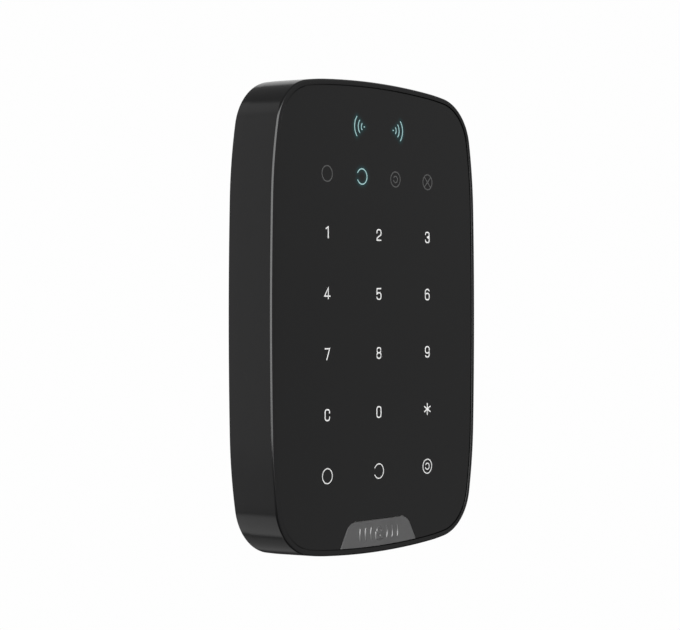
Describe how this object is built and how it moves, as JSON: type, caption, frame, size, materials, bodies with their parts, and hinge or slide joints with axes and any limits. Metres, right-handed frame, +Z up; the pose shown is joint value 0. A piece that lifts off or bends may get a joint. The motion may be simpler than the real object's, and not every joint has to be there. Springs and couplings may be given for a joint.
{
  "type": "rfid card reader keypad",
  "caption": "Slim wall-hung touch keypad and contactless card reader with a glossy black panel, lit legends, a grey badge and a slide-off wall plate.",
  "frame": {"origin": "middle of the wall plate's back face, on the wall plane", "axes": "+Z up, +Y into the wall, so the touch panel faces -Y and +X is to the right of someone facing it"},
  "size_m": [0.113, 0.02, 0.1649],
  "materials": {
    "plate_plastic": "fine moulded texture",
    "zinc_steel": "zinc plated",
    "housing_plastic": "satin black, polished rim",
    "panel_glass_black": "smooth black with printed legends",
    "badge_grey": "fine satin grey",
    "tape_black": "foam tape",
    "light_guide_white": "milky diffuser",
    "led_white": "moulded phosphor",
    "led_cyan": "moulded clear",
    "board_green": "solder resist over copper",
    "film_amber": "thin insulating film",
    "antenna_copper": "flat copper winding",
    "ferrite_grey": "dull ferrite",
    "connector_black": "moulded",
    "connector_gold": "gold-plated pins in a black base",
    "chip_black": "moulded epoxy, tinned leads",
    "shield_tin": "tinned shield on a small board",
    "antenna_wire": "enamelled wire",
    "buzzer_black": "moulded",
    "components_mixed": "small soldered parts",
    "switch_black": "moulded",
    "stem_ivory": "moulded",
    "plunger_white": "moulded",
    "spring_steel": "drawn wire",
    "button_grey": "moulded",
    "cover_plastic": "fine moulded texture",
    "insert_brass": "turned brass",
    "cell_wrap": "shrink wrap over a steel can",
    "contact_nickel": "nickel-plated strip",
    "label_white": "blank printed-stock label"
  },
  "bodies": {
    "wall_mount": {"wall_plate": "plate_plastic"},
    "keypad": {"front_housing": "housing_plastic", "touch_panel": "panel_glass_black", "badge": "badge_grey", "panel_tape": "tape_black", "light_guide": "light_guide_white", "key_leds": "led_white", "indicator_leds": "led_cyan", "touch_board": "board_green", "insulation_film": "film_amber", "reader_antenna": "antenna_copper", "ferrite_sheet": "ferrite_grey", "board_socket": "connector_black", "board_header": "connector_gold", "main_board": "board_green", "processor": "chip_black", "reader_chip": "chip_black", "radio_module": "shield_tin", "radio_antenna": "antenna_wire", "buzzer": "buzzer_black", "board_components": "components_mixed", "board_screws": "zinc_steel", "tamper_switch": "switch_black", "tamper_spring": "spring_steel", "power_switch": "switch_black", "rear_cover": "cover_plastic", "housing_screws": "zinc_steel", "lock_insert": "insert_brass", "battery_1": "cell_wrap", "battery_2": "cell_wrap", "battery_3": "cell_wrap", "battery_4": "cell_wrap", "battery_springs": "spring_steel", "contact_links": "contact_nickel", "battery_terminals": "contact_nickel", "id_label": "label_white"},
    "tamper_plunger": {"tamper_plunger": "plunger_white", "tamper_switch_stem": "stem_ivory"},
    "power_button": {"power_button": "button_grey", "power_switch_stem": "stem_ivory"},
    "lock_screw": {"lock_screw": "zinc_steel"}
  },
  "joints": [
    {"name": "keypad_slide", "type": "slide", "parent": "wall_mount", "child": "keypad", "axis": [0, 0, 1], "range_m": [0, 0.008]},
    {"name": "tamper_plunger_slide", "type": "slide", "parent": "keypad", "child": "tamper_plunger", "axis": [0, 1, 0], "range_m": [0, 0.0008], "deforming": ["tamper_spring"]},
    {"name": "power_button_press", "type": "slide", "parent": "keypad", "child": "power_button", "axis": [0, -1, 0], "range_m": [0, 0.0004], "stiffness_N_per_m": 600},
    {"name": "lock_screw_turn", "type": "hinge", "parent": "wall_mount", "child": "lock_screw", "pos_m": [0, -0.0048, -0.0805], "axis": [0, 0, 1], "continuous": true}
  ],
  "couplings": [
    {"joint": "tamper_plunger_slide", "follows": "keypad_slide", "ratio": 0.1}
  ]
}
